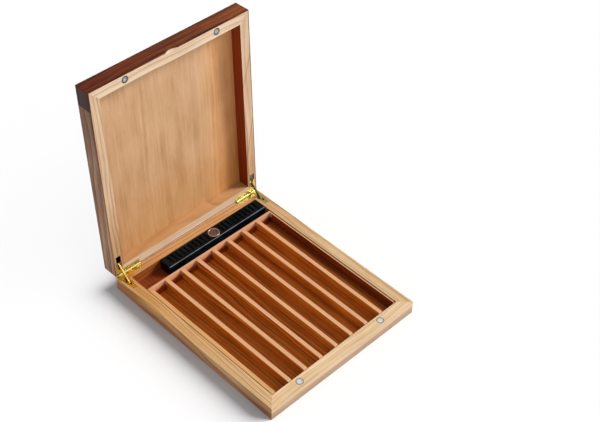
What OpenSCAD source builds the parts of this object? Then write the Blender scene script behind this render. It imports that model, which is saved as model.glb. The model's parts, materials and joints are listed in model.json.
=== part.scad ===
// Fountain pen case: a mitred wooden box with a veneered lid on two quadrant hinges.
// Origin at the middle of the base's underside. X runs along the hinge line,
// -Y is the front and +Z is up. The lid is drawn open, resting on its two stay arms.

/* [Case] */
// Width of the case along the hinge line
case_w = 210; // [200:1:240]
// Depth of the case from front to back
case_d = 249; // [235:1:280]
// Height of the base
base_h = 17; // [17:0.5:22]
// Height of the lid with its veneer
lid_h = 20; // [20:0.5:24]
// Thickness of the front and side walls
wall_t = 12.8; // [12.6:0.1:14]
// Thickness of the back walls
back_wall_t = 11.2; // [11:0.1:13]
// Gap between the two rims when the case is shut
seam_gap = 0.4; // [0.3:0.1:0.8]
// Thickness of the base's bottom panel
bottom_t = 2.4; // [2:0.1:2.6]
// Thickness of the cedar lining on the floor
lining_t = 0.8; // [0.5:0.1:1]
// How far the panels are let into the walls
rabbet_w = 3; // [2:0.5:3]

/* [Lid] */
// Angle at which the stay arms hold the lid
open_angle = 92; // [85:1:100]
// Depth of the hollow in the lid
lid_hollow = 15; // [14.6:0.1:15.5]
// Thickness of the veneer on the lid's top
top_veneer_t = 1; // [0.6:0.1:1.2]
// Thickness of the veneer on the lid's four edges
edge_veneer_t = 1; // [0.6:0.1:1.5]
// Length of the rosewood corner pieces on the lid's sides
corner_veneer_l = 24; // [15:1:40]
// Length of the finger notch in the lid's front edge
notch_l = 19; // [14:1:26]
// How far the finger notch is let in from the front
notch_in = 3; // [2:0.5:4]
// Height of the finger notch
notch_up = 3.5; // [2:0.5:5]

/* [Hinges] */
// Distance of the hinge axis behind the back face
axis_out = 0.05; // [0.05:0.05:0.5]
// Radius of the hinge barrel
barrel_r = 2.5; // [2.4:0.1:2.8]
// Distance of the barrel's inner end from the middle of the case
barrel_in = 72; // [60:1:75]
// Length of the barrel
barrel_l = 30.6; // [28:0.1:31]
// Number of knuckles in each barrel
knuckles = 5; // [3:2:7]
// Radius of the hinge pin
hinge_pin_r = 1; // [0.8:0.1:1.2]
// Thickness of the brass leaves
leaf_t = 1.2; // [1:0.1:1.4]
// Width of the leaf's leg on the side rim
side_leg_w = 7.8; // [7:0.1:8.2]
// Width of the narrow front end of that leg
side_tip_w = 5.6; // [5:0.1:6.5]
// Length of the leg on the side rim
side_leg_l = 26; // [25:0.5:32]
// Depth of the leaf's leg on the back rim
back_leg_d = 6; // [5.8:0.1:6.2]

/* [Stay arms] */
// Distance of the stay arm from the hinge axis
stay_offset = 9; // [8.6:0.1:9.2]
// Width of the stay arm
stay_w = 2.4; // [2:0.1:2.4]
// Thickness of the stay arm
stay_t = 1.6; // [1.2:0.1:1.8]
// Radius of the stop pins
stop_pin_r = 0.7; // [0.6:0.05:0.75]
// Length of the stop pins
stop_pin_l = 5.4; // [4.5:0.1:5.6]

/* [Magnets] */
// Distance of each magnet from the middle of the case
magnet_x = 60; // [40:1:80]
// Radius of the magnets
magnet_r = 4.1; // [3.5:0.1:4.5]
// Thickness of the magnets
magnet_t = 2.6; // [2.4:0.1:4]

/* [Tray] */
// Number of dividers in the tray
dividers = 7; // [7]
// Thickness of the dividers and of the left wall
rib_t = 4.6; // [4:0.1:5]
// Thickness of the right wall
tray_right_t = 2; // [1.8:0.1:4.6]
// Gap between the tray's left side and the case
tray_left_gap = 1.2; // [0.6:0.1:2]
// Gap between the tray's right side and the case
tray_right_gap = 0.6; // [0.6:0.1:2]
// Place of the tray's back face
tray_back_y = 88; // [80:1:90]
// Gap between the tray and the front wall
tray_front_gap = 1; // [0.8:0.1:3]
// Thickness of the tray's floor
tray_floor_t = 1.2; // [1:0.1:2]
// Thickness of the tray's back wall
tray_back_t = 2.8; // [2.4:0.1:3.5]
// How far the tray's top stays below the rim
tray_drop = 0.8; // [0.6:0.1:2]
// Radius of the ribs' front top corners
rib_round = 3; // [2:0.5:6]
// Thickness of the tray's front rail
rail_t = 2.5; // [2:0.1:4]
// Height of the tray's front rail above its floor
rail_h = 4; // [3:0.5:6]

/* [Vent bar] */
// Length of the vented bar
bar_l = 144.3; // [120:0.1:150]
// Width of the vented bar
bar_w = 17; // [15:0.1:17]
// How far the bar's top stays below the rim
bar_drop = 0.4; // [0.3:0.1:2]
// Wall thickness of the bar's housing
bar_wall = 1.4; // [1:0.1:2]
// Thickness of the grille
grille_t = 1.6; // [1.4:0.1:2]
// Number of slots on each side of the medallion
bar_slots = 10; // [6:1:10]
// Distance from slot to slot
slot_pitch = 5.95; // [5:0.05:6]
// Width of each slot
slot_w = 3.1; // [2:0.1:3.5]
// Outer radius of the medallion's ring
medallion_r = 7; // [5:0.1:7.2]

/* [Hidden] */

$fn = 48;
// A small overlap that joins solids, how far cutters reach past a surface, and the play
// between parts that fit closely or tightly
eps = 0.01;
over = 1;
fit_gap = 0.05;
tight_gap = 0.02;

half_w = case_w / 2;
half_d = case_d / 2;
inner_x = half_w - wall_t;
inner_front = -half_d + wall_t;
inner_back = half_d - back_wall_t;

axis_y = half_d + axis_out;
axis_z = base_h + seam_gap / 2;
lid_rim = base_h + seam_gap;
lid_top = lid_rim + lid_h;
lid_core_top = lid_top - top_veneer_t;
core_x = half_w - edge_veneer_t;
core_y = half_d - edge_veneer_t;
floor_z = bottom_t + lining_t;

rim_mid_x = half_w - wall_t / 2;
barrel_out = barrel_in + barrel_l;
knuckle_l = barrel_l / knuckles;
knuckle_gap = 0.15;
barrel_clear = 0.35;
barrel_end_gap = 0.4;
pin_out = 0.2;
pin_head_in = 0.1;
pin_head_r = 1.9;
pin_head_l = 1;
wide_leg_l = 17.8;

half_angle = open_angle / 2;
stop_clear = 0.1;
stop_pin_h = seam_gap / 2 + leaf_t + stop_pin_r + stop_clear;
stay_half = (stay_offset * sin(half_angle) + stop_pin_h) / cos(half_angle);
stay_play = 1.6;
stay_slot_w = stay_t + stay_play;
stay_slot = [7, 19];
mortise_w = 6.4;
mortise_run = [7.2, 18.4];
lid_mortise_run = [7.2, 27];
mortise_spare = 0.6;
mortise_d = stay_half + stay_w / 2 + mortise_spare;

screw_head_r = 1.5;
screw_shank_r = 0.75;
screw_head_h = 0.9;
screw_point_r = 0.1;
screw_point_l = 2;
screw_hole_spare = 0.3;
screw_l = 7;
cross_reach = 0.62;
cross_half_w = 0.16;
cross_depth = 0.45;
cross_turn = 20;
magnet_screw_head_r = 2.2;
magnet_screw_l = 9;
magnet_screw_sink = 0.2;
back_screw_in = [3.2, 4.2];
side_screw_in = 22.6;
lid_screw_step = 14;
back_screw = [barrel_in + back_screw_in[0], half_d - back_screw_in[1]];
base_screws = [back_screw, [rim_mid_x, half_d - side_screw_in]];
lid_screws = [back_screw, back_screw + [lid_screw_step, 0]];
magnet_y = -half_d + wall_t / 2;

tray_x0 = tray_left_gap - inner_x;
tray_x1 = inner_x - tray_right_gap;
tray_front = inner_front + tray_front_gap;
tray_z = floor_z + tray_floor_t;
tray_top = base_h - tray_drop;
rib_back = tray_back_y - tray_back_t;
rib_dado = 1;
channel_w = (tray_x1 - tray_right_t - tray_x0 - (dividers + 1) * rib_t) / (dividers + 1);
rib_pitch = channel_w + rib_t;

bar_gap = [0.4, 0.3];
bar_x1 = inner_x - bar_gap[0];
bar_x0 = bar_x1 - bar_l;
bar_y1 = inner_back - bar_gap[1];
bar_y0 = bar_y1 - bar_w;
bar_mid = [(bar_x0 + bar_x1) / 2, (bar_y0 + bar_y1) / 2];
bar_top = base_h - bar_drop;
grille_z = bar_top - grille_t;
foam_gap = 0.3;
first_slot = medallion_r + 3.6;
slot_margin = [3.4, 2.2];
seat_d = 0.6;
ring_w = 1.4;
ring_up = 0.8;
face_up = 0.4;
dimples = 8;
dimple_r_share = 0.2;
dimple_ring_share = 0.68;
boss_share = 0.35;

pale_wood = "#dcbc92";
inner_wood = "#cf9f68";
cedar = "#b5672f";
rosewood = "#6e3524";
walnut = "#7b6355";
macassar = "#4a2a1c";
brass = "#cfae4e";
nickel = "#b9bcc0";
black_plastic = "#1b1c1f";
foam_grey = "#2b2f2e";
copper = "#a5705a";

// ---- helpers ----

// A box given by its ranges along the three axes
module span_box(x, y, z) {
    translate([x[0], y[0], z[0]]) cube([x[1] - x[0], y[1] - y[0], z[1] - z[0]]);
}

// A rectangle given by its ranges
module span_rect(x, y) {
    translate([x[0], y[0]]) square([x[1] - x[0], y[1] - y[0]]);
}

// A rod along the hinge axis
module axis_rod(x0, x1, r) {
    translate([x0, axis_y, axis_z]) rotate([0, 90, 0]) cylinder(h = x1 - x0, r = r);
}

// Turns what is drawn shut to its place on the open case
module turned(angle) {
    translate([0, axis_y, axis_z]) rotate([-angle, 0, 0]) translate([0, -axis_y, -axis_z]) children();
}

// Draws a lid part, given in the shut case, where it is on the open one
module on_lid() {
    turned(open_angle) children();
}

// Mirrors something drawn at the base's rim to the lid's rim, in the shut case
module rim_mirror() {
    translate([0, 0, 2 * axis_z]) mirror([0, 0, 1]) children();
}

// The right-hand side's piece, or its mirror image for the left
module on_side(side) {
    if (side > 0) children();
    else mirror([1, 0, 0]) children();
}

// ---- fastenings ----

// A countersunk cross-slot wood screw with its head's top at the origin, pointing down
module wood_screw(head_r, length) {
    arm = head_r * cross_reach;
    shank_l = length - screw_point_l - screw_head_h;
    difference() {
        union() {
            translate([0, 0, -screw_head_h]) cylinder(h = screw_head_h, r1 = screw_shank_r, r2 = head_r);
            translate([0, 0, screw_point_l - length]) cylinder(h = shank_l + eps, r = screw_shank_r);
            translate([0, 0, -length])
                cylinder(h = screw_point_l + eps, r1 = screw_point_r, r2 = screw_shank_r);
        }
        for (turn = [0, 90])
            rotate([0, 0, turn + cross_turn])
                span_box([-arm, arm], [-cross_half_w, cross_half_w], [-cross_depth, over]);
    }
}

// The hole that a wood screw fills
module screw_hole(head_r, length) {
    translate([0, 0, -screw_head_h - fit_gap])
        cylinder(h = screw_head_h + fit_gap, r1 = screw_shank_r + fit_gap, r2 = head_r + fit_gap);
    translate([0, 0, -fit_gap]) cylinder(h = over, r = head_r + fit_gap);
    translate([0, 0, -length - screw_hole_spare]) cylinder(h = length, r = screw_shank_r + fit_gap);
}

// The screws of one leaf, at the base's rim
module leaf_screw_set(side, places) {
    for (place = places)
        translate([side * place[0], place[1], base_h - fit_gap]) wood_screw(screw_head_r, screw_l);
}

module leaf_screw_holes(side, places) {
    for (place = places)
        translate([side * place[0], place[1], base_h - fit_gap]) screw_hole(screw_head_r, screw_l);
}

// A ring magnet let into the base's rim
module magnet(side) {
    translate([side * magnet_x, magnet_y, base_h])
        difference() {
            translate([0, 0, -magnet_t]) cylinder(h = magnet_t, r = magnet_r);
            translate([0, 0, -magnet_screw_sink]) screw_hole(magnet_screw_head_r, magnet_screw_l);
        }
}

module magnet_screw(side) {
    translate([side * magnet_x, magnet_y, base_h - magnet_screw_sink])
        wood_screw(magnet_screw_head_r, magnet_screw_l);
}

module magnet_pocket(side) {
    translate([side * magnet_x, magnet_y, base_h]) {
        translate([0, 0, -magnet_t]) cylinder(h = magnet_t + over, r = magnet_r + fit_gap);
        translate([0, 0, -magnet_screw_sink]) screw_hole(magnet_screw_head_r, magnet_screw_l);
    }
}

// ---- hinges ----

// Outline of a leaf seen from above, grown by a clearance. The lid's leaf has no narrow tip
module leaf_outline(grow, tipped) {
    outer = barrel_out + grow;
    inner = barrel_out - side_leg_w - grow;
    tip_mid = barrel_out - side_leg_w / 2;
    tip = side_tip_w / 2 + grow;
    span_rect([barrel_in - grow, outer], [half_d - back_leg_d - grow, half_d + grow]);
    span_rect([inner, outer], [half_d - wide_leg_l - grow, half_d]);
    if (tipped) span_rect([tip_mid - tip, tip_mid + tip], [half_d - side_leg_l - grow, half_d]);
}

// Rods along the axis at every second knuckle, starting with the first or the second one
module knuckle_rods(first, r, spare) {
    for (k = [first : 2 : knuckles - 1])
        axis_rod(barrel_in + k * knuckle_l - spare, barrel_in + (k + 1) * knuckle_l + spare, r);
}

// The slot through which the stay arm passes the leaf
module stay_slot_cut() {
    y0 = axis_y - stay_slot[1];
    y1 = axis_y - stay_slot[0];
    r = stay_slot_w / 2;
    low = base_h - leaf_t - over;
    high = base_h + over;
    span_box([rim_mid_x - r, rim_mid_x + r], [y0 + r, y1 - r], [low, high]);
    for (y = [y0 + r, y1 - r])
        translate([rim_mid_x, y, low]) cylinder(h = high - low, r = r);
}

// One right-hand leaf at the base's rim: its own knuckles start at first
module leaf(first, bore_r, screws, tipped) {
    difference() {
        union() {
            translate([0, 0, base_h - leaf_t])
                linear_extrude(leaf_t) leaf_outline(0, tipped);
            knuckle_rods(first, barrel_r, -knuckle_gap / 2);
        }
        knuckle_rods(1 - first, barrel_r + barrel_clear, knuckle_gap / 2);
        axis_rod(barrel_in - over, barrel_out + over, bore_r);
        stay_slot_cut();
        leaf_screw_holes(1, screws);
    }
}

// What a wall loses to the hinge: the leaf's recess, the barrel's groove and the mortise
module hinge_cut(screws, tipped, run) {
    translate([0, 0, base_h - leaf_t]) linear_extrude(leaf_t + over) leaf_outline(fit_gap, tipped);
    axis_rod(barrel_in - barrel_end_gap, barrel_out + barrel_end_gap + pin_head_l,
             barrel_r + barrel_clear);
    span_box([rim_mid_x - mortise_w / 2, rim_mid_x + mortise_w / 2],
             [axis_y - run[1], axis_y - run[0]],
             [axis_z - mortise_d, base_h]);
    leaf_screw_holes(1, screws);
}

module base_hinge_cut() hinge_cut(base_screws, true, mortise_run);
module lid_hinge_cut() hinge_cut(lid_screws, false, lid_mortise_run);

module hinge_pin() {
    axis_rod(barrel_in - pin_out, barrel_out + pin_out, hinge_pin_r);
    axis_rod(barrel_out + pin_head_in, barrel_out + pin_head_l, pin_head_r);
}

// ---- stay arms ----

// The arm stands upright in the shut case, centred on the axis' height
module stay_bar() {
    y = axis_y - stay_offset;
    difference() {
        union() {
            span_box([rim_mid_x - stay_t / 2, rim_mid_x + stay_t / 2],
                     [y - stay_w / 2, y + stay_w / 2],
                     [axis_z - stay_half, axis_z + stay_half]);
            for (z = [axis_z - stay_half, axis_z + stay_half])
                translate([rim_mid_x - stay_t / 2, y, z]) rotate([0, 90, 0])
                    cylinder(h = stay_t, r = stay_w / 2);
        }
        stay_pin_rods(stop_pin_r + tight_gap);
    }
}

module stay_pin_rods(r) {
    for (z = [axis_z - stay_half, axis_z + stay_half])
        translate([rim_mid_x - stop_pin_l / 2, axis_y - stay_offset, z]) rotate([0, 90, 0])
            cylinder(h = stop_pin_l, r = r);
}

// ---- walls ----

// Plan of a mitred frame's front and back walls, and of its right wall, from its outer
// half sizes; the inner edges are shared by the base and the lid
module front_plan(x, y) {
    polygon([[-x, -y], [x, -y], [inner_x, inner_front], [-inner_x, inner_front]]);
}

module back_plan(x, y) {
    polygon([[x, y], [-x, y], [-inner_x, inner_back], [inner_x, inner_back]]);
}

module right_plan(x, y) {
    polygon([[x, -y], [x, y], [inner_x, inner_back], [inner_x, inner_front]]);
}

// The rabbet that holds a panel, and the panel itself
module panel(z) {
    span_box([-inner_x - rabbet_w, inner_x + rabbet_w], [inner_front - rabbet_w, inner_back + rabbet_w], z);
}

module base_wall_cuts() {
    panel([-over, bottom_t]);
    for (side = [-1, 1]) {
        on_side(side) base_hinge_cut();
        magnet_pocket(side);
    }
}

module base_wall() {
    color(pale_wood) difference() {
        linear_extrude(base_h) children();
        base_wall_cuts();
    }
}

// A ball that scoops the finger notch out of the front edge
module finger_notch() {
    half_l = notch_l / 2;
    out = (half_l * half_l - notch_in * notch_in) / (2 * notch_in);
    down = (half_l * half_l - notch_up * notch_up) / (2 * notch_up);
    translate([0, -half_d - out, lid_rim - down])
        sphere(r = norm([out, down, half_l]), $fn = 96);
}

module lid_wall() {
    color(pale_wood) on_lid() difference() {
        translate([0, 0, lid_rim]) linear_extrude(lid_core_top - lid_rim) children();
        panel([lid_rim + lid_hollow, lid_top + over]);
        for (side = [-1, 1])
            rim_mirror() {
                on_side(side) lid_hinge_cut();
                magnet_pocket(side);
            }
        finger_notch();
    }
}

// ---- base ----

module base_front_wall() base_wall() front_plan(half_w, half_d);
module base_back_wall() base_wall() back_plan(half_w, half_d);
module base_right_wall() base_wall() right_plan(half_w, half_d);
module base_left_wall() base_wall() mirror([1, 0]) right_plan(half_w, half_d);

module base_bottom_panel() {
    color(inner_wood) panel([0, bottom_t]);
}

module base_floor_lining() {
    color(cedar) span_box([-inner_x, inner_x], [inner_front, inner_back], [bottom_t, floor_z]);
}

module hinge_base_leaf(side) {
    color(brass) on_side(side) leaf(0, hinge_pin_r + tight_gap, base_screws, true);
}

module side_hinge_pin(side) {
    color(brass) on_side(side) hinge_pin();
}

module base_hinge_screws() {
    color(brass) for (side = [-1, 1]) leaf_screw_set(side, base_screws);
}

module base_magnet(side) {
    color(nickel) magnet(side);
}

module base_magnet_screws() {
    color(nickel) for (side = [-1, 1]) magnet_screw(side);
}

// ---- lid ----

module lid_front_wall() lid_wall() front_plan(core_x, core_y);
module lid_back_wall() lid_wall() back_plan(core_x, core_y);
module lid_right_wall() lid_wall() right_plan(core_x, core_y);
module lid_left_wall() lid_wall() mirror([1, 0]) right_plan(core_x, core_y);

module lid_inner_panel() {
    color(inner_wood) on_lid() panel([lid_rim + lid_hollow, lid_core_top]);
}

module lid_top_veneer() {
    color(macassar) on_lid()
        span_box([-half_w, half_w], [-half_d, half_d], [lid_core_top, lid_top]);
}

module lid_front_veneer() {
    color(rosewood) on_lid() difference() {
        span_box([-half_w, half_w], [-half_d, -core_y], [lid_rim, lid_core_top]);
        finger_notch();
    }
}

module lid_back_veneer() {
    color(walnut) on_lid() difference() {
        span_box([-half_w, half_w], [core_y, half_d], [lid_rim, lid_core_top]);
        for (side = [-1, 1]) rim_mirror() on_side(side) lid_hinge_cut();
    }
}

module lid_corner_veneer(side) {
    color(rosewood) on_lid() on_side(side)
        span_box([core_x, half_w], [-core_y, corner_veneer_l - half_d], [lid_rim, lid_core_top]);
}

module lid_side_veneer(side) {
    color(walnut) on_lid() on_side(side)
        span_box([core_x, half_w], [corner_veneer_l - half_d, core_y], [lid_rim, lid_core_top]);
}

module hinge_lid_leaf(side) {
    color(brass) on_lid() rim_mirror() on_side(side) leaf(1, hinge_pin_r + fit_gap, lid_screws, false);
}

module lid_hinge_screws() {
    color(brass) on_lid() rim_mirror() for (side = [-1, 1]) leaf_screw_set(side, lid_screws);
}

module lid_magnet(side) {
    color(nickel) on_lid() rim_mirror() magnet(side);
}

module lid_magnet_screws() {
    color(nickel) on_lid() rim_mirror() for (side = [-1, 1]) magnet_screw(side);
}

module stay_arm(side) {
    color(brass) turned(half_angle) on_side(side) stay_bar();
}

module stay_pins(side) {
    color(brass) turned(half_angle) on_side(side) stay_pin_rods(stop_pin_r);
}

// ---- tray ----

// Side view of a rib: Y to the right, Z up, its front top corner rounded
module rib_side(back) {
    span_rect([tray_front, back], [tray_z, tray_top - rib_round]);
    span_rect([tray_front + rib_round, back], [tray_z, tray_top]);
    translate([tray_front + rib_round, tray_top - rib_round]) circle(r = rib_round);
}

module stand_up(x, thickness) {
    translate([x, 0, 0]) rotate([90, 0, 90]) linear_extrude(thickness) children();
}

module tray_floor() {
    color(cedar) span_box([tray_x0, tray_x1], [tray_front, tray_back_y], [floor_z, tray_z]);
}

module tray_left_wall() {
    color(cedar) stand_up(tray_x0, rib_t) rib_side(rib_back);
}

module tray_right_wall() {
    color(cedar) stand_up(tray_x1 - tray_right_t, tray_right_t) rib_side(rib_back);
}

module tray_back_wall() {
    color(cedar) difference() {
        span_box([tray_x0, tray_x1], [rib_back, tray_back_y], [tray_z, tray_top]);
        for (i = [1 : dividers]) {
            x = divider_x(i);
            span_box([x, x + rib_t], [rib_back - over, rib_back + rib_dado],
                     [tray_z - over, tray_top + over]);
        }
    }
}

module tray_front_rail() {
    color(cedar) span_box([tray_x0 + rib_t, tray_x1 - tray_right_t], [tray_front, tray_front + rail_t],
                          [tray_z, tray_z + rail_h]);
}

// Left face of divider i, counted from the left
function divider_x(i) = i * rib_pitch + tray_x0;

module divider(i) {
    color(cedar) stand_up(divider_x(i), rib_t) difference() {
        rib_side(rib_back + rib_dado);
        span_rect([tray_front - over, tray_front + rail_t], [tray_z - over, tray_z + rail_h]);
    }
}

// ---- vent bar ----

module bar_housing() {
    color(black_plastic) difference() {
        span_box([bar_x0, bar_x1], [bar_y0, bar_y1], [floor_z, grille_z]);
        span_box([bar_x0 + bar_wall, bar_x1 - bar_wall], [bar_y0 + bar_wall, bar_y1 - bar_wall],
                 [floor_z + bar_wall, bar_top]);
    }
}

module bar_foam() {
    spare = bar_wall + foam_gap;
    color(foam_grey) span_box([bar_x0 + spare, bar_x1 - spare], [bar_y0 + spare, bar_y1 - spare],
                              [floor_z + bar_wall, grille_z - foam_gap]);
}

module bar_grille() {
    color(black_plastic) difference() {
        span_box([bar_x0, bar_x1], [bar_y0, bar_y1], [grille_z, bar_top]);
        for (side = [-1, 1], k = [0 : bar_slots - 1]) {
            x = bar_mid[0] + side * (first_slot + k * slot_pitch);
            span_box([x - slot_w / 2, x + slot_w / 2],
                     [bar_y0 + slot_margin[0], bar_y1 - slot_margin[1]],
                     [grille_z - over, bar_top + over]);
        }
        translate([bar_mid[0], bar_mid[1], bar_top - seat_d])
            cylinder(h = seat_d + over, r = medallion_r + fit_gap);
    }
}

module bar_medallion_ring() {
    color(copper) translate([bar_mid[0], bar_mid[1], bar_top - seat_d]) difference() {
        cylinder(h = seat_d + ring_up, r = medallion_r);
        translate([0, 0, -over]) cylinder(h = seat_d + ring_up + 2 * over, r = medallion_r - ring_w);
    }
}

// A plain rosette: a disc with a raised middle and a circle of dimples
module bar_medallion() {
    face_r = medallion_r - ring_w - fit_gap;
    color(copper) translate([bar_mid[0], bar_mid[1], bar_top - seat_d]) difference() {
        union() {
            cylinder(h = seat_d + face_up, r = face_r);
            cylinder(h = seat_d + ring_up, r = face_r * boss_share);
        }
        for (k = [0 : dimples - 1])
            rotate([0, 0, k * 360 / dimples])
                translate([face_r * dimple_ring_share, 0, seat_d + face_up])
                    sphere(r = face_r * dimple_r_share);
    }
}

base_front_wall();
base_back_wall();
base_left_wall();
base_right_wall();
base_bottom_panel();
base_floor_lining();
hinge_base_leaf(-1);  // left_hinge_base_leaf
hinge_base_leaf(1);  // right_hinge_base_leaf
side_hinge_pin(-1);  // left_hinge_pin
side_hinge_pin(1);  // right_hinge_pin
base_hinge_screws();
base_magnet(-1);  // base_magnet_left
base_magnet(1);  // base_magnet_right
base_magnet_screws();
lid_front_wall();
lid_back_wall();
lid_left_wall();
lid_right_wall();
lid_inner_panel();
lid_top_veneer();
lid_front_veneer();
lid_back_veneer();
lid_corner_veneer(-1);  // lid_left_corner_veneer
lid_corner_veneer(1);  // lid_right_corner_veneer
lid_side_veneer(-1);  // lid_left_side_veneer
lid_side_veneer(1);  // lid_right_side_veneer
hinge_lid_leaf(-1);  // left_hinge_lid_leaf
hinge_lid_leaf(1);  // right_hinge_lid_leaf
lid_hinge_screws();
lid_magnet(-1);  // lid_magnet_left
lid_magnet(1);  // lid_magnet_right
lid_magnet_screws();
stay_arm(-1);  // left_stay_arm
stay_pins(-1);  // left_stay_pins
stay_arm(1);  // right_stay_arm
stay_pins(1);  // right_stay_pins
tray_floor();
tray_left_wall();
tray_right_wall();
tray_back_wall();
tray_front_rail();
divider(1);  // divider_1
divider(2);  // divider_2
divider(3);  // divider_3
divider(4);  // divider_4
divider(5);  // divider_5
divider(6);  // divider_6
divider(7);  // divider_7
bar_housing();
bar_grille();
bar_foam();
bar_medallion();
bar_medallion_ring();
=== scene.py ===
"""The looks of a fountain pen case: veneered lid, pale walls, cedar tray, vent bar and brass hinges."""

import json
import math

import bpy
from mathutils import Matrix, Vector, noise


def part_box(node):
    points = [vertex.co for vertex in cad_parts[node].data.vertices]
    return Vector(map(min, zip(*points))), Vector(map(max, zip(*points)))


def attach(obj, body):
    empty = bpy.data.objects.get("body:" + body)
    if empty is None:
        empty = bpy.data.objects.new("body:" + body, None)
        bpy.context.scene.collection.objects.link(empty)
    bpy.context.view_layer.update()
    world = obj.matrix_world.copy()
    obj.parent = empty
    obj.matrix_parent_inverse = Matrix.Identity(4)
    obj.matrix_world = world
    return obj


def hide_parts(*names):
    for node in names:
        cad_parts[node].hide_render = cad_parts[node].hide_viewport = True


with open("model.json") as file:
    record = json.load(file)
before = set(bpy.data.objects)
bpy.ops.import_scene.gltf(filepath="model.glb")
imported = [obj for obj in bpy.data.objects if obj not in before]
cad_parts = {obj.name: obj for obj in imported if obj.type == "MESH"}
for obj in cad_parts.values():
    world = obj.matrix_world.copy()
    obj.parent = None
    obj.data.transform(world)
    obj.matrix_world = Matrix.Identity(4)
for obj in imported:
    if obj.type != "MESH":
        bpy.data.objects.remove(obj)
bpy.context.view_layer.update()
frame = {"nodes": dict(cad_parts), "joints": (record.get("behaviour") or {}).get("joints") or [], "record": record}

MM = 0.001
NODES = frame["nodes"]
SLOT_OF = {part["node"]: part["material_slot"] for part in frame["record"]["subparts"]}
HINGE = next(joint for joint in frame["joints"] if joint["name"] == "lid_hinge")


def srgb(text):
    """A linear colour from six hex digits."""
    channels = [int(text[i : i + 2], 16) / 255 for i in (0, 2, 4)]
    return [c / 12.92 if c <= 0.04045 else ((c + 0.055) / 1.055) ** 2.4 for c in channels] + [1.0]


def box_mm(name):
    """A node's box in mm."""
    lo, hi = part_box(name)
    return lo / MM, hi / MM


# ---- shader graphs ----


class Graph:
    """A material's node tree, with short calls that return output sockets."""

    def __init__(self, name):
        self.material = bpy.data.materials.new(name)
        self.material.use_nodes = True
        self.tree = self.material.node_tree
        self.tree.nodes.clear()

    def node(self, kind, inputs=(), **settings):
        made = self.tree.nodes.new("ShaderNode" + kind)
        for key, value in settings.items():
            setattr(made, key, value)
        for key, value in dict(inputs).items():
            if isinstance(value, bpy.types.NodeSocket):
                self.tree.links.new(value, made.inputs[key])
            elif value is not None:
                made.inputs[key].default_value = value
        return made

    def math(self, operation, a, b=None, c=None, clamp=False):
        """A Math node. MULTIPLY_ADD gives a * b + c."""
        return self.node("Math", {0: a, 1: b, 2: c}, operation=operation, use_clamp=clamp).outputs[0]

    def times(self, *values):
        result = values[0]
        for value in values[1:]:
            result = self.math("MULTIPLY", result, value)
        return result

    def split(self, vector):
        return self.node("SeparateXYZ", {0: vector}).outputs

    def join(self, x, y, z):
        return self.node("CombineXYZ", {0: x, 1: y, 2: z}).outputs[0]

    def noise(self, vector, scales, seed, detail=2.0, roughness=0.5):
        """Noise from 0 to 1. Along each axis its features are about 1/scale long."""
        stretched = self.node("VectorMath", {0: vector, 1: scales}, operation="MULTIPLY").outputs[0]
        inputs = {"Vector": stretched, "W": seed, "Scale": 1.0, "Detail": detail, "Roughness": roughness}
        return self.node("TexNoise", inputs, noise_dimensions="4D").outputs[0]

    def line_noise(self, value, detail=2.0, roughness=0.6):
        """Noise along one number."""
        inputs = {"W": value, "Scale": 1.0, "Detail": detail, "Roughness": roughness}
        return self.node("TexNoise", inputs, noise_dimensions="1D").outputs[0]

    def step(self, value, low, high, to_low=0.0, to_high=1.0):
        """A smooth step from to_low to to_high as value goes from low to high."""
        if low > high:
            low, high, to_low, to_high = high, low, to_high, to_low
        inputs = {"Value": value, 1: low, 2: high, 3: to_low, 4: to_high}
        return self.node("MapRange", inputs, interpolation_type="SMOOTHSTEP").outputs[0]

    def ramp(self, value, stops):
        made = self.node("ValToRGB", {0: value})
        elements = made.color_ramp.elements
        while len(elements) < len(stops):
            elements.new(0.5)
        for element, (place, colour) in zip(elements, stops):
            element.position, element.color = place, colour
        return made.outputs[0]

    def mix(self, factor, a, b, blend="MIX"):
        inputs = {0: factor, 6: a, 7: b}
        return self.node("Mix", inputs, data_type="RGBA", blend_type=blend).outputs[2]

    def tint(self, factor, colour, red, green, blue):
        """Multiplies a colour where factor is 1."""
        return self.mix(factor, colour, (red, green, blue, 1.0), "MULTIPLY")

    def edge(self, radius_mm):
        """1 on outer edges, 0 on flat surfaces."""
        rounded = self.node("Bevel", {"Radius": radius_mm * MM}, samples=4).outputs[0]
        plain = self.node("NewGeometry").outputs["Normal"]
        dot = self.node("VectorMath", {0: rounded, 1: plain}, operation="DOT_PRODUCT").outputs["Value"]
        return self.step(dot, 0.995, 0.85)

    def finish(self, colour, roughness, height, bump_mm, **constants):
        """Closes the graph with a Principled shader and returns the material."""
        bump = self.node("Bump", {"Strength": 1.0, "Distance": bump_mm * MM, "Height": height})
        inputs = {"Base Color": colour, "Roughness": roughness, "Normal": bump.outputs[0]}
        inputs.update({key.replace("_", " "): value for key, value in constants.items()})
        self.node("OutputMaterial", {0: self.node("BsdfPrincipled", inputs).outputs[0]})
        return self.material


# ---- places of the boards ----

# Case coordinates are those of the shut case in mm: X along the hinge, Y to the back, Z up. OPENED turns the
# lid from shut to where it stands at rest.
HINGE_AT = Vector(HINGE["pos_m"])
OPENED = Matrix.Rotation(math.radians(HINGE["range_deg"][0]), 3, "X")
BASE_PLACE = (Vector((0, 0, 0)), Matrix.Identity(3))
LID_PLACE = (HINGE_AT - OPENED @ HINGE_AT, OPENED)


def case_coordinates(graph, place=BASE_PLACE):
    """Case coordinates on a board with the given place at rest."""
    source = graph.node("TexCoord").outputs["Object"]
    inputs = {0: source, "Location": place[0], "Rotation": place[1].to_euler("XYZ"), "Scale": (MM, MM, MM)}
    return graph.node("Mapping", inputs, vector_type="TEXTURE").outputs[0]


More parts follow.
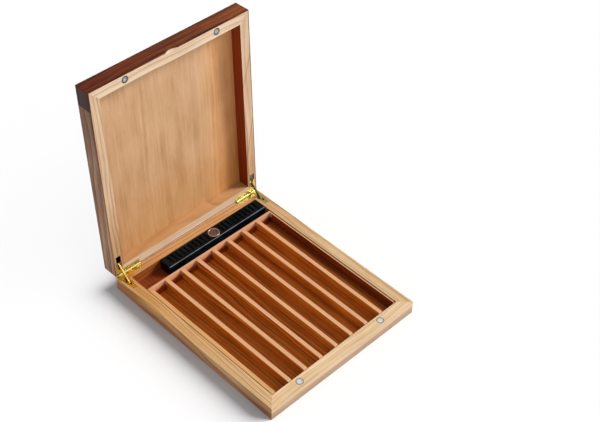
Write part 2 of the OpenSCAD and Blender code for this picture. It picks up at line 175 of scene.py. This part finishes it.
CASE_LO, CASE_HI = box_mm("base_left_wall")[0], box_mm("base_right_wall")[1]
INNER_X, INNER_Y = box_mm("base_floor_lining")[1].xy
TRAY_X = box_mm("tray_left_wall")[0].x
RIB_BACK_Y = box_mm("tray_left_wall")[1].y
RIM_Z = CASE_HI.z

# ---- woods ----

# dark, mid and light are the colours of the figure. ring, line, fibre, mottle and pore are the shares of
# growth rings, late-wood lines, fibres, clouds and pores in it. pith is where the tree's middle lies, across
# the board and above it, wave is how far it wanders, spacing is from ring to ring and bump is the relief's
# height, all in mm.
ASH = dict(pith=(60, -70), spacing=2.2, wave=7, ring=0.50, line=0.30, fibre=0.45, mottle=0.40, pore=0.25,
           rough=0.50, bump=0.05, ior=1.36)
CEDAR = dict(pith=(30, -45), spacing=1.9, wave=5, fibre=0.75, mottle=0.50, pore=0.25,
             rough=0.60, bump=0.04, ior=1.36)
WOODS = {
    "ash": dict(ASH, dark="ae8856", mid="d4b285", light="e7cfac", pore_colour="8f673c", ring=0.62, fibre=0.50,
                pore=0.30),
    "front_ash": dict(ASH, dark="bf9b6e", mid="e2c299", light="f2ddc0", pore_colour="9a7248", spacing=2.4,
                      line=0.25, fibre=0.50, mottle=0.35),
    "golden_ash": dict(ASH, dark="9f6430", mid="c7925c", light="ddb284", pore_colour="7d4a22", line=0.25),
    "pale_ash": dict(ASH, dark="9d7550", mid="c3a585", light="d5bfa4", pore_colour="9a744a", pore=0.28),
    "white_ash": dict(ASH, dark="ab8663", mid="cfb79b", light="e0d0b9", pore_colour="a07a52", spacing=2.4,
                      ring=0.45, mottle=0.35),
    "calm_ash": dict(ASH, dark="ab8663", mid="cfb79b", light="e0d0b9", pore_colour="a07a52", pith=(230, -60),
                     spacing=1.5, wave=4, ring=0.40, line=0.25, fibre=0.40, mottle=0.30),
    "panel": dict(dark="9b6d43", mid="ba936c", light="cba683", pore_colour="8f6238", pith=(9, -150),
                  spacing=1.3, wave=6, ring=0.30, line=0.06, fibre=0.46, mottle=0.62, pore=0.30,
                  rough=0.55, bump=0.04, ior=1.36),
    "cedar": dict(CEDAR, dark="944c08", mid="cd7d20", light="e69b3e", pore_colour="652e06", ring=0.70,
                  line=0.35),
    # A darker cedar for the floor lining; part of its darkness is painted shade of the bay.
    "lining": dict(CEDAR, dark="5a1c04", mid="8d3a07", light="a9500f", pore_colour="3a1002", ring=0.30,
                   line=0.15, fibre=0.50),
    "rosewood": dict(dark="361104", mid="7f3f18", light="b06936", pore_colour="210a04", pith=(20, -60),
                     spacing=1.5, wave=3, ring=0.80, line=0.30, fibre=0.75, mottle=0.50, pore=0.50,
                     rough=0.45, bump=0.03, ior=1.22),
    "walnut": dict(dark="623d29", mid="9c7456", light="c09a78", pore_colour="40291f", pith=(25, -60),
                   spacing=1.6, wave=3, ring=0.50, line=0.30, fibre=0.85, mottle=0.45, pore=0.60,
                   rough=0.52, bump=0.05, ior=1.22),
    "ebony": dict(dark="110908", mid="35180d", light="a65f2f", pore_colour="0c0706", pith=(320, -90),
                  spacing=3.4, wave=5, ring=1.80, line=0.15, fibre=0.45, mottle=0.50, pore=0.35,
                  rough=0.34, bump=0.02, ior=1.36),
}


def wood(name, species, place, along_y, seed, paint=None):
    """A board's material, with its grain along Y or else X.

    paint(graph, colour, case coordinates) returns a changed colour.
    """
    look = WOODS[species]
    graph = Graph(name)
    case = case_coordinates(graph, place)
    x, y, z = graph.split(case)
    if along_y:
        x, y = y, graph.math("MULTIPLY", x, -1.0)
    grain = graph.join(x, y, z)

    # growth rings: distance from a pith line that wanders along the board
    drift = graph.noise(grain, (0.006, 0.012, 0.012), seed, detail=2.0)
    swing = look["wave"] * 4.0
    wander = graph.math("MULTIPLY_ADD", drift, swing, look["pith"][0] + seed % 7 - swing / 2)
    across = graph.math("ADD", y, wander)
    depth = graph.math("ADD", z, look["pith"][1])
    radius = graph.math("SQRT", graph.math("ADD", graph.times(across, across), graph.times(depth, depth)))
    turns = graph.math("DIVIDE", radius, look["spacing"])
    band = graph.line_noise(graph.math("ADD", turns, seed * 3.7), detail=3.0, roughness=0.65)
    saw = graph.math("FRACT", graph.math("MULTIPLY", turns, 0.5))
    late = graph.math("POWER", saw, 5.0)

    fibre = graph.noise(grain, (0.018, 1.1, 1.1), seed + 5.0, detail=4.0, roughness=0.72)
    hair = graph.noise(grain, (0.09, 5.0, 5.0), seed + 9.0, detail=2.0, roughness=0.6)
    mottle = graph.noise(grain, (0.02, 0.06, 0.06), seed + 2.0, detail=4.0)
    pore_noise = graph.noise(grain, (0.16, 3.2, 3.2), seed + 13.0, detail=1.0)
    pores = graph.times(graph.step(pore_noise, 0.58, 0.72), graph.step(saw, 0.9, 0.1, 0.35, 1.0))

    value = graph.math("MULTIPLY_ADD", band, look["ring"], 0.5 - look["ring"] / 2)
    for part, share in ((fibre, look["fibre"]), (hair, look["fibre"] * 0.5), (mottle, look["mottle"])):
        value = graph.math("ADD", value, graph.math("MULTIPLY_ADD", part, share, -share / 2))
    value = graph.math("SUBTRACT", value, graph.times(late, look["line"]), clamp=True)
    tones = zip((0.2, 0.5, 0.8), ("dark", "mid", "light"))
    colour = graph.ramp(value, [(at, srgb(look[tone])) for at, tone in tones])
    colour = graph.mix(graph.times(pores, look["pore"]), colour, srgb(look["pore_colour"]))
    if paint:
        colour = paint(graph, colour, case)

    worn = graph.times(graph.edge(0.5), graph.step(mottle, 0.35, 0.7, 0.1, 0.4))
    colour = graph.mix(worn, colour, srgb(look["light"]))
    roughness = graph.math("MULTIPLY_ADD", fibre, 0.18, look["rough"] - 0.09)
    height = graph.math("SUBTRACT", graph.math("MULTIPLY_ADD", hair, 0.5, fibre), pores)
    return graph.finish(colour, roughness, height, look["bump"], IOR=look["ior"])


# Where each grain line meets the right rim's outer edge in Y, and its slope
GRAIN_LINES = ((-72.0, 0.30), (12.0, 0.20))


def outer_face(graph, value, face, inwards):
    """1 on one of the case's outer faces, 0 just under it. inwards is 1 or -1, the way into the wood."""
    return graph.step(value, face + inwards * 0.4, face + inwards * 0.1)


def inner_face(graph, value, face):
    """1 on a face that looks into the case, 0 within the wall behind it."""
    return graph.step(value, face + 0.25, face + 0.1)


def base_paint(graph, colour, case):
    """Painted brown shade on the outer faces, deeper low down and towards the front, and red-brown painted
    shade on the inner faces under the rim; and a golden stain that deepens towards the left hinge.
    """
    x, y, z = graph.split(case)
    # Painted shade on the outer faces: darker low down and towards the front.
    sides = graph.math("MAXIMUM", outer_face(graph, x, CASE_LO.x, 1), outer_face(graph, x, CASE_HI.x, -1))
    outer = graph.math("MAXIMUM", sides, outer_face(graph, y, CASE_HI.y, -1))
    front = outer_face(graph, y, CASE_LO.y, 1)
    low = graph.step(z, 13.0, 5.0, 0.35, 1.0)
    near = graph.step(y, -60.0, -115.0)
    colour = graph.tint(graph.times(outer, low), colour, 0.73, 0.54, 0.55)
    colour = graph.tint(graph.times(outer, near), colour, 0.67, 0.58, 0.48)
    colour = graph.tint(graph.times(front, low), colour, 0.49, 0.45, 0.51)
    # Painted shade: the inner faces under the rim are tinted dark red-brown.
    within = graph.times(inner_face(graph, graph.math("ABSOLUTE", x), INNER_X),
                         graph.step(graph.math("ABSOLUTE", y), CASE_HI.y - 3.0, CASE_HI.y - 9.0),
                         graph.step(z, RIM_Z - 0.3, RIM_Z - 0.6))
    colour = graph.tint(within, colour, 0.55, 0.30, 0.14)
    left = graph.times(graph.step(x, INNER_X * -0.9, -INNER_X), graph.step(y, -110.0, 110.0, 0.3, 1.0))
    colour = graph.tint(left, colour, 0.85, 0.66, 0.42)
    hinge_end = graph.times(graph.step(x, INNER_X * 0.9, INNER_X), graph.step(y, 20.0, 120.0))
    return graph.tint(hinge_end, colour, 0.93, 0.80, 0.72)


def hollow_side_paint(graph, colour, case):
    """A dark red-brown face inside the hollow, darkened with painted shade, and grain lines on the right rim.

    The stay arm's mortise is painted black as shade on the left; on the right it has painted olive shade
    near its mouth and a painted white highlight deep inside.
    """
    x, y, z = graph.split(case)
    out = graph.math("ABSOLUTE", x)
    # Red-brown wood tone, darkened with painted shade, on the face inside the hollow.
    colour = graph.tint(inner_face(graph, out, INNER_X), colour, 0.47, 0.082, 0.001)
    # Painted shade: the stay arms' mortises are painted near black.
    mortise = graph.times(graph.step(out, INNER_X + 0.3, INNER_X + 0.6),
                          graph.step(out, CASE_HI.x - 1.4, CASE_HI.x - 1.7),
                          graph.step(z, RIM_Z + 0.7, RIM_Z + 1.2), graph.step(z, RIM_Z + 18.0, RIM_Z + 17.0))
    colour = graph.tint(mortise, colour, 0.03, 0.014, 0.008)
    # The right mortise: painted olive shade near its mouth and a painted white highlight deep inside.
    pale = graph.mix(graph.step(z, RIM_Z + 2.4, RIM_Z + 3.4), srgb("5f5938"), srgb("ffffff"))
    colour = graph.mix(graph.times(mortise, graph.step(x, 0.0, 1.0)), colour, pale)
    on_rim = graph.step(z, RIM_Z + 0.6, RIM_Z + 0.5)
    for start, slope in GRAIN_LINES:
        off = graph.math("ADD", x, graph.math("MULTIPLY_ADD", y, slope, -slope * start - CASE_HI.x))
        line = graph.times(graph.step(graph.math("ABSOLUTE", off), 1.0, 0.3), on_rim)
        colour = graph.tint(line, colour, 0.72, 0.55, 0.42)
    return graph.tint(graph.step(y, 0.0, 115.0), colour, 0.84, 0.72, 0.56)


def hollow_back_paint(graph, colour, case):
    """A tan face inside the hollow."""
    return graph.tint(inner_face(graph, graph.split(case)[1], INNER_Y), colour, 0.90, 0.62, 0.38)


def panel_paint(graph, colour, case):
    """Warmer towards the hinge, and browner along the right with a painted warm reflection from the right wall."""
    x, y = graph.split(case)[:2]
    colour = graph.tint(graph.step(y, 0.0, 112.0), colour, 1.0, 0.90, 0.70)
    # Painted warm reflection from the right wall, browning the panel along the right.
    return graph.tint(graph.step(x, 35.0, INNER_X), colour, 1.25, 0.98, 0.64)


def cedar_paint(graph, colour, case):
    """Pale pinkish tops and rounded front ends, partly the cut wood's own colour and partly painted light,
    and painted shade low in the channels, at the right end and on the back wall's face, whose upper part is
    painted lit.
    """
    x, y, z = graph.split(case)
    facing = graph.split(graph.node("TexCoord").outputs["Normal"])
    # Painted light: faces that look up and the front ends take the pale colour, partly the cut wood's own.
    top = graph.times(graph.step(facing[2], 0.3, 0.6), graph.step(z, 8.0, 9.0))
    end = graph.times(graph.step(facing[1], -0.3, -0.6), graph.step(z, 4.6, 4.8), graph.step(y, 0.0, -5.0))
    pale = graph.math("MAXIMUM", top, end)
    # Painted shade: darker low in the channels.
    colour = graph.tint(graph.step(z, 9.0, 4.0, 0.0, 0.5), colour, 0.80, 0.60, 0.45)
    # Painted shade on the tray's right end.
    colour = graph.tint(graph.step(x, INNER_X - 12.0, INNER_X - 3.0), colour, 0.32, 0.18, 0.06)
    # Painted shade on the back wall's face, whose upper part is painted lit.
    back_face = graph.step(y, RIB_BACK_Y - 3.4, RIB_BACK_Y - 2.9)
    colour = graph.tint(back_face, colour, 0.60, 0.34, 0.18)
    pale = graph.math("MAXIMUM", pale, graph.times(back_face, graph.step(z, 8.0, 12.5)))
    # The pale colour: the cut wood's own, brightened as painted light; a paler tan on the left wall.
    cut_and_lit = graph.mix(0.25, srgb("deae88"), colour)
    left = graph.step(x, TRAY_X + 6.0, TRAY_X + 5.0)
    cut_and_lit = graph.mix(left, cut_and_lit, graph.mix(0.35, srgb("d6ad7a"), colour))
    return graph.mix(pale, colour, cut_and_lit)


def rosewood_paint(graph, colour, case):
    """Darker towards the left."""
    x = graph.split(case)[0]
    colour = graph.tint(graph.step(x, CASE_HI.x, CASE_LO.x), colour, 0.61, 0.39, 0.30)
    return graph.tint(graph.step(x, CASE_LO.x + 0.6, CASE_LO.x + 0.3), colour, 0.30, 0.17, 0.14)


def walnut_paint(graph, colour, case):
    """A thin dark line along the rim, and a paler hinge end."""
    y, z = graph.split(case)[1:]
    colour = graph.tint(graph.step(y, 100.0, -100.0), colour, 0.68, 0.64, 0.66)
    return graph.tint(graph.step(z, RIM_Z + 1.6, RIM_Z + 0.9), colour, 0.62, 0.55, 0.5)


# ---- metals, plastic and foam ----


def metal(name, colour, tarnish, rough, seed, shine=1.0, paint=None):
    """Plated or polished metal with faint scratches, a cloudy film and brighter edges."""
    graph = Graph(name)
    case = case_coordinates(graph)
    film = graph.noise(case, (0.12, 0.12, 0.12), seed, detail=2.0)
    scratch = graph.noise(case, (0.3, 4.0, 4.0), seed + 3.0, detail=1.0)
    tone = graph.mix(graph.step(film, 0.4, 0.75, 0.0, 0.5), srgb(colour), srgb(tarnish))
    tone = graph.mix(graph.times(graph.edge(0.25), 0.3), tone, (1.0, 0.9, 0.68, 1.0))
    if paint:
        tone = paint(graph, tone, case)
    roughness = graph.math("MULTIPLY_ADD", film, 0.1, rough - 0.05)
    roughness = graph.math("ADD", roughness, graph.times(scratch, 0.05))
    return graph.finish(tone, roughness, scratch, 0.0004, Metallic=shine)


def leaf_reflection_paint(graph, colour, case):
    """A painted orange reflection of the lid's panel, a deeper gold away from the barrel."""
    y = graph.split(case)[1]
    return graph.tint(graph.step(y, CASE_HI.y - 2.0, CASE_HI.y - 3.5), colour, 0.92, 0.62, 0.12)


def plastic(name, colour, worn_colour, highlight_colour, rough):
    """Moulded plastic with a fine spark-eroded texture, and a painted highlight along the bar's front top edge."""
    graph = Graph(name)
    case = case_coordinates(graph)
    pebble = graph.noise(case, (3.2, 3.2, 3.2), 4.0, detail=3.0, roughness=0.6)
    cloud = graph.noise(case, (0.07, 0.07, 0.07), 8.0, detail=3.0)
    tone = graph.mix(graph.step(cloud, 0.4, 0.7, 0.0, 0.4), srgb(colour), srgb(worn_colour))
    tone = graph.mix(graph.times(graph.edge(0.4), 0.5), tone, srgb(worn_colour))
    front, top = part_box("bar_housing")[0].y / MM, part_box("bar_grille")[1].z / MM
    y, z = graph.split(case)[1:]
    # Painted highlight: a pale strip along the bar's front top edge.
    painted_highlight = graph.times(graph.step(y, front + 0.65, front + 0.35), graph.step(z, top - 0.65, top - 0.35),
                         graph.step(cloud, 0.2, 0.6, 0.4, 1.0))
    tone = graph.mix(painted_highlight, tone, srgb(highlight_colour))
    roughness = graph.math("MULTIPLY_ADD", cloud, 0.2, rough - 0.1)
    return graph.finish(tone, roughness, pebble, 0.008, IOR=1.2)


def foam(name, pit_colour, wall_colour):
    """Open-cell foam: pits darkened with painted shade between paler walls."""
    graph = Graph(name)
    case = case_coordinates(graph)
    cells = graph.node("TexVoronoi", {"Vector": case, "Scale": 1.6, "Randomness": 1.0}).outputs["Distance"]
    grain = graph.noise(case, (3.0, 3.0, 3.0), 2.0, detail=3.0)
    wall = graph.step(cells, 0.15, 0.5)
    # Painted shade: the pits are darker than the walls.
    tone = graph.mix(graph.times(wall, grain), srgb(pit_colour), srgb(wall_colour))
    height = graph.math("ADD", wall, grain)
    return graph.finish(tone, graph.math("MULTIPLY_ADD", grain, 0.1, 0.85), height, 0.25)


def magnet_face(name, place, bright, dull, shine):
    """Plated metal with a dark line round the disc and round the screw head."""
    lo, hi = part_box(name)
    middle = place[1].transposed() @ ((lo + hi) / 2 - place[0]) / MM
    radius = (hi.x - lo.x) / 2 / MM
    graph = Graph(name + "_plating")
    case = case_coordinates(graph, place)
    x, y = graph.split(case)[:2]
    dx, dy = graph.math("SUBTRACT", x, middle.x), graph.math("SUBTRACT", y, middle.y)
    r = graph.math("SQRT", graph.math("ADD", graph.times(dx, dx), graph.times(dy, dy)))
    film = graph.noise(case, (0.5, 0.5, 0.5), middle.x, detail=3.0)
    turned = graph.line_noise(graph.math("MULTIPLY", r, 5.0))
    tone = graph.mix(graph.step(film, 0.4, 0.7), srgb(bright), srgb(dull))
    rim, round_screw = graph.step(r, radius - 0.95, radius - 0.6), graph.step(r, 2.7, 2.45, 0.0, 0.7)
    tone = graph.mix(graph.math("MAXIMUM", rim, round_screw), tone, srgb("2e3136"))
    roughness = graph.math("MULTIPLY_ADD", film, 0.15, 0.4)
    return graph.finish(tone, roughness, turned, 0.01, Metallic=shine)


def assign(name, material):
    mesh = NODES[name].data
    mesh.materials.clear()
    mesh.materials.append(material)


SOLIDS = {
    "brass": metal("brass_polished", "dccd84", "8f7d42", 0.26, 1.0),
    "nickel": metal("nickel_plated", "aeb2b8", "777c83", 0.30, 11.0),
    "copper": metal("copper_satin", "86736f", "3a2b27", 0.42, 21.0),
    "black_plastic": plastic("black_moulded", "04080c", "1b262e", "77838a", 0.34),
    "bar_foam": foam("foam_open_cell", "08090a", "1d2223"),
}
VARIANTS = {
    "left_stay_arm": metal("brass_dull", "b1934c", "6a5122", 0.34, 41.0),
    # Painted shade: the right stay arm is a dark copy of the brass.
    "right_stay_arm": metal("brass_painted_shade", "57481f", "2c2410", 0.45, 43.0),
    # Painted reflection: the left base leaf is a golden copy of the brass, tinted orange away from the barrel.
    "left_hinge_base_leaf": metal("brass_painted_reflection", "ecd485", "c79f45", 0.24, 45.0, paint=leaf_reflection_paint),
    # Painted highlight: the base's magnet screws are a near-white, mostly unmetallic copy of the nickel.
    "base_magnet_screws": metal("nickel_painted_highlight", "eceef0", "b9bdc2", 0.4, 47.0, 0.3),
}
SPECIES = {
    "base_wood": ("ash", base_paint),
    "lid_wood": ("pale_ash", None),
    "base_panel": ("panel", None),
    "lid_panel": ("panel", panel_paint),
    "ebony_veneer": ("ebony", None),
    "rosewood_veneer": ("rosewood", rosewood_paint),
    "walnut_veneer": ("walnut", walnut_paint),
    "cedar": ("cedar", cedar_paint),
}
SPECIAL = {
    "base_floor_lining": ("lining", None),
    "base_front_wall": ("front_ash", base_paint),
    "base_back_wall": ("golden_ash", base_paint),
    "lid_front_wall": ("white_ash", None),
    "lid_left_wall": ("pale_ash", hollow_side_paint),
    "lid_right_wall": ("pale_ash", hollow_side_paint),
    "lid_back_wall": ("calm_ash", hollow_back_paint),
}
LID_NODES = set(frame["record"]["behaviour"]["bodies"]["lid"])
ALONG_X = ("front_wall", "back_wall", "front_veneer", "back_veneer", "front_rail")

for number, name in enumerate(sorted(NODES)):
    slot = SLOT_OF[name]
    place = LID_PLACE if name in LID_NODES else BASE_PLACE
    if name.endswith(("magnet_left", "magnet_right")):
        # Painted highlight: the base's magnets get a near-white, mostly unmetallic plating; the lid's are darker
        # metal.
        plating = ("8b9094", "62676c", 1.0) if name in LID_NODES else ("f4f4f5", "d9dbde", 0.25)
        assign(name, magnet_face(name, place, *plating))
    elif name in VARIANTS:
        assign(name, VARIANTS[name])
    elif slot in SOLIDS:
        assign(name, SOLIDS[slot])
    else:
        species, paint = SPECIAL.get(name, SPECIES[slot])
        seed = number * 1.37 + 0.5
        assign(name, wood(name + "_wood", species, place, not name.endswith(ALONG_X), seed, paint))

# ---- softened edges ----

# How close points are joined, in metres, the angles between faces of a bend, and each slot's bevel in mm
WELD = 1e-6
GENTLE = (math.radians(1), math.radians(30))
SMALL_BEVEL = 0.05
BEVELS = {
    "base_wood": 0.2, "lid_wood": 0.2, "base_panel": 0.15, "lid_panel": 0.15,
    "ebony_veneer": 0.2, "rosewood_veneer": 0.15, "walnut_veneer": 0.15, "cedar": 0.25,
    "brass": 0.12, "nickel": 0.12, "copper": 0.1, "black_plastic": 0.45,
}


def bent_faces(mesh):
    """The faces that lie on a gentle bend. Neighbours are found by place, as a CAD mesh is split at edges."""
    meeting = {}
    for face in mesh.polygons:
        for edge in face.edge_keys:
            ends = frozenset(tuple(round(c / WELD) for c in mesh.vertices[v].co) for v in edge)
            meeting.setdefault(ends, []).append(face)
    bent = set()
    for faces in meeting.values():
        if len(faces) == 2 and GENTLE[0] < faces[0].normal.angle(faces[1].normal, 0.0) < GENTLE[1]:
            bent.update(face.index for face in faces)
    return bent


def soften(node, width):
    """Bevels a node's sharp edges, and shades its bends smooth and its flats flat."""
    bent = bent_faces(node.data)
    for face in node.data.polygons:
        face.use_smooth = face.index in bent
    weld = node.modifiers.new("weld", "WELD")
    weld.merge_threshold = WELD
    bevel = node.modifiers.new("edges", "BEVEL")
    bevel.width = width * MM
    bevel.segments = 2
    bevel.limit_method = "ANGLE"
    bevel.angle_limit = GENTLE[1]
    bevel.use_clamp_overlap = node.name.endswith("_wall")
    bevel.miter_outer = "MITER_ARC"
    even = node.modifiers.new("shading", "WEIGHTED_NORMAL")
    even.weight = 100
    even.keep_sharp = True


for name, node in NODES.items():
    if SLOT_OF[name] in BEVELS:
        small = name.endswith(("screws", "pins", "pin"))
        soften(node, SMALL_BEVEL if small else BEVELS[SLOT_OF[name]])

# ---- pieces modelled here ----


def add_piece(name, vertices, faces, material, body, slot, stands_for):
    """A smooth mesh that rides on a body in place of a CAD node."""
    mesh = bpy.data.meshes.new(name)
    mesh.from_pydata([tuple(v) for v in vertices], [], faces)
    mesh.validate()
    for face in mesh.polygons:
        face.use_smooth = True
    mesh.materials.append(material)
    piece = bpy.data.objects.new(name, mesh)
    bpy.context.scene.collection.objects.link(piece)
    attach(piece, body)
    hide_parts(stands_for)
    piece.modifiers.new("shading", "WEIGHTED_NORMAL").keep_sharp = False


def lathe(centre, profile, steps, relief=None, closed=False):
    """Vertices and faces of a turned solid round a centre in metres.

    profile is a list of (radius, height) in mm, from the underside's middle round to the top's, or a
    closed loop for a ring. relief(radius, height, angle) gives the height that is added there.
    """
    vertices, rings = [], []
    for r, z in profile:
        if r == 0:
            rings.append([len(vertices)] * steps)
            vertices.append(centre + Vector((0, 0, z * MM)))
            continue
        rings.append(list(range(len(vertices), len(vertices) + steps)))
        for k in range(steps):
            angle = 2 * math.pi * k / steps
            up = z + relief(r, z, angle) if relief else z
            vertices.append(centre + Vector((r * math.cos(angle), r * math.sin(angle), up)) * MM)
    faces = []
    pairs = list(zip(rings, rings[1:])) + ([(rings[-1], rings[0])] if closed else [])
    for inner, outer in pairs:
        for k in range(steps):
            n = (k + 1) % steps
            corners = []
            for v in (inner[k], inner[n], outer[n], outer[k]):
                if v not in corners:
                    corners.append(v)
            faces.append(corners[::-1])
    return vertices, faces


def rounded_loop(r0, r1, z0, z1, radius, steps=5):
    """A closed rectangle with rounded corners in radius and height, counter-clockwise."""
    low, high, near, far = z0 + radius, z1 - radius, r0 + radius, r1 - radius
    loop = []
    for cx, cz, start in ((far, low, -90), (far, high, 0), (near, high, 90), (near, low, 180)):
        for k in range(steps + 1):
            angle = math.radians(start + 90 * k / steps)
            loop.append((cx + radius * math.cos(angle), cz + radius * math.sin(angle)))
    return loop


# How finely the medallion is divided, out from its middle and round it
RINGS, STEPS = 22, 96
# The rosette's petals and the dome in its middle: heights in mm, and where they start and end as shares of
# the medallion's radius
PETALS, PETAL_H, PETAL_FROM, PETAL_TO = 8, 0.26, 0.32, 0.92
DOME_H, DOME_TO = 0.36, 0.3
# How far the face lies under the CAD node's top, to leave room for them, and the rim's rounding, in mm
FACE_DOWN, RIM_ROUND = 0.45, 0.38

ring_lo, ring_hi = box_mm("bar_medallion_ring")
face_lo, face_hi = box_mm("bar_medallion")
medallion_at = Vector(((ring_lo.x + ring_hi.x) / 2, (ring_lo.y + ring_hi.y) / 2, 0)) * MM
face_r = (face_hi.x - face_lo.x) / 2
ring_r = (ring_hi.x - ring_lo.x) / 2
face_top = face_hi.z - FACE_DOWN


def rosette(r, z, angle):
    """Petals round a domed middle, on the medallion's upper side only."""
    if z < face_top - 0.2:
        return 0.0
    share = r / face_r
    height = DOME_H * max(0.0, 1 - (share / DOME_TO) ** 2)
    if PETAL_FROM < share < PETAL_TO:
        along = (share - PETAL_FROM) / (PETAL_TO - PETAL_FROM)
        height += PETAL_H * math.sin(math.pi * along) * abs(math.cos(angle * PETALS / 2)) ** 1.5
    return height


profile = [(0, face_lo.z), (face_r - 0.1, face_lo.z), (face_r, face_lo.z + 0.1), (face_r, face_top - 0.3)]
profile += [(face_r * (1 - k / RINGS), face_top) for k in range(RINGS)] + [(0, face_top + DOME_H)]
add_piece("medallion_rosette", *lathe(medallion_at, profile, STEPS, rosette), SOLIDS["copper"],
          "bar", "copper", "bar_medallion")
loop = rounded_loop(face_r + 0.05, ring_r, ring_lo.z, ring_hi.z, RIM_ROUND)
add_piece("medallion_rim", *lathe(medallion_at, loop, STEPS, closed=True),
          metal("copper_rim", "cbb9b0", "806a60", 0.3, 31.0), "bar", "copper", "bar_medallion_ring")

# The foam block's face size, its skin's deepest dent and how many dents there are to a mm
FOAM_STEP, DENT, DENTS_PER_MM = 1.2 * MM, 0.9 * MM, 0.45
foam_lo, foam_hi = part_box("bar_foam")
foam_size = foam_hi - foam_lo
counts = [max(2, round(length / FOAM_STEP)) for length in foam_size]


def foam_block():
    """A box of small faces whose skin is pressed in unevenly, as cut foam is."""
    index, vertices, faces = {}, [], []

    def vertex(i, j, k):
        if (i, j, k) not in index:
            index[i, j, k] = len(vertices)
            share = Vector((i / counts[0], j / counts[1], k / counts[2]))
            point = foam_lo + foam_size * share
            inward = (Vector((0.5, 0.5, 0.5)) - share).normalized()
            dent = 0.5 + 0.5 * noise.noise(point / MM * DENTS_PER_MM)
            vertices.append(point + inward * dent * DENT)
        return index[i, j, k]

    for axis in range(3):
        a, b = [n for n in range(3) if n != axis]
        for side in (0, counts[axis]):
            for p in range(counts[a]):
                for q in range(counts[b]):
                    corners = []
                    for dp, dq in ((0, 0), (1, 0), (1, 1), (0, 1)):
                        at = [0, 0, 0]
                        at[axis], at[a], at[b] = side, p + dp, q + dq
                        corners.append(vertex(*at))
                    outward = (side > 0) != (axis == 1)
                    faces.append(corners if outward else corners[::-1])
    return vertices, faces


add_piece("bar_foam_block", *foam_block(), SOLIDS["bar_foam"], "bar", "bar_foam", "bar_foam")

# ---- stage ----

FLOOR_REACH = 6.0
floor_mesh = bpy.data.meshes.new("floor")
corners = [(x * FLOOR_REACH, y * FLOOR_REACH, 0) for x, y in ((-1, -1), (1, -1), (1, 1), (-1, 1))]
floor_mesh.from_pydata(corners, [], [(0, 1, 2, 3)])
floor = bpy.data.objects.new("floor", floor_mesh)
bpy.context.scene.collection.objects.link(floor)
paper = Graph("floor_paper")
speck = paper.noise(case_coordinates(paper), (0.5, 0.5, 0.5), 1.0, detail=3.0)
tone = paper.mix(speck, (0.62, 0.625, 0.635, 1), (0.66, 0.665, 0.675, 1))
floor_mesh.materials.append(paper.finish(tone, 0.85, speck, 0.01))


def sun(name, towards, energy, angle):
    """A warm sun. towards points from the case to it, and angle is its width in degrees."""
    data = bpy.data.lights.new(name, "SUN")
    data.energy = energy
    data.angle = math.radians(angle)
    data.color = (1.0, 0.98, 0.95)
    light = bpy.data.objects.new(name, data)
    light.rotation_mode = "QUATERNION"
    light.rotation_quaternion = Vector(towards).to_track_quat("Z", "Y")
    bpy.context.scene.collection.objects.link(light)
    return light


def light_group(name, members, state):
    """A collection for light linking. state says whether its members are included or excluded."""
    group = bpy.data.collections.new(name)
    for member in members:
        group.objects.link(member)
    for entry in group.collection_objects:
        entry.light_linking.link_state = state
    return group


# The key lights the case; a second one lights the floor, where only the low base casts a shadow.
key = sun("key", towards=(0.71, -0.45, 0.53), energy=3.6, angle=20)
key.light_linking.receiver_collection = light_group("not_floor", [floor], "EXCLUDE")
wash = sun("floor_key", towards=(0.74, -0.62, 0.56), energy=6.8, angle=40)
wash.light_linking.receiver_collection = light_group("floor_only", [floor], "INCLUDE")
low_bodies = [node for name, node in NODES.items() if name.startswith("base_")]
wash.light_linking.blocker_collection = light_group("floor_blockers", low_bodies, "INCLUDE")

# A sky that is palest at the horizon and below it
world = bpy.data.worlds.new("studio")
bpy.context.scene.world = world
world.use_nodes = True
tree = world.node_tree
tree.nodes.clear()
sky = tree.nodes.new("ShaderNodeTexCoord")
parts = tree.nodes.new("ShaderNodeSeparateXYZ")
shade = tree.nodes.new("ShaderNodeValToRGB")
emit = tree.nodes.new("ShaderNodeBackground")
out = tree.nodes.new("ShaderNodeOutputWorld")
for source, target in ((sky.outputs["Generated"], parts), (parts.outputs[2], shade), (shade.outputs[0], emit),
                       (emit.outputs[0], out)):
    tree.links.new(source, target.inputs[0])
stops = shade.color_ramp.elements
stops[0].position, stops[0].color = 0.0, (0.95, 0.96, 0.98, 1)
stops[1].position, stops[1].color = 0.6, (0.42, 0.43, 0.45, 1)

bpy.context.scene.view_settings.view_transform = "Standard"

# ---- camera ----

# Angles in degrees, the lens in mm, and the camera's place in metres to its own right, up and back
AZIMUTH, ELEVATION, ROLL = (math.radians(d) for d in (-45.05, 43.2, 1.15))
LENS = 72.4
ALONG = (0.04007, 0.09812, 1.32724)

back = Vector((math.sin(AZIMUTH) * math.cos(ELEVATION), -math.cos(AZIMUTH) * math.cos(ELEVATION),
               math.sin(ELEVATION)))
level = Vector((math.cos(AZIMUTH), math.sin(AZIMUTH), 0))
upright = back.cross(level)
right = level * math.cos(ROLL) + upright * math.sin(ROLL)
up = upright * math.cos(ROLL) - level * math.sin(ROLL)
camera_data = bpy.data.cameras.new("camera")
camera_data.lens = LENS
camera_data.clip_start, camera_data.clip_end = 0.05, 50
camera = bpy.data.objects.new("camera", camera_data)
bpy.context.scene.collection.objects.link(camera)
turn = Matrix((right, up, back)).transposed()
camera.matrix_world = Matrix.Translation(turn @ Vector(ALONG)) @ turn.to_4x4()
bpy.context.scene.camera = camera
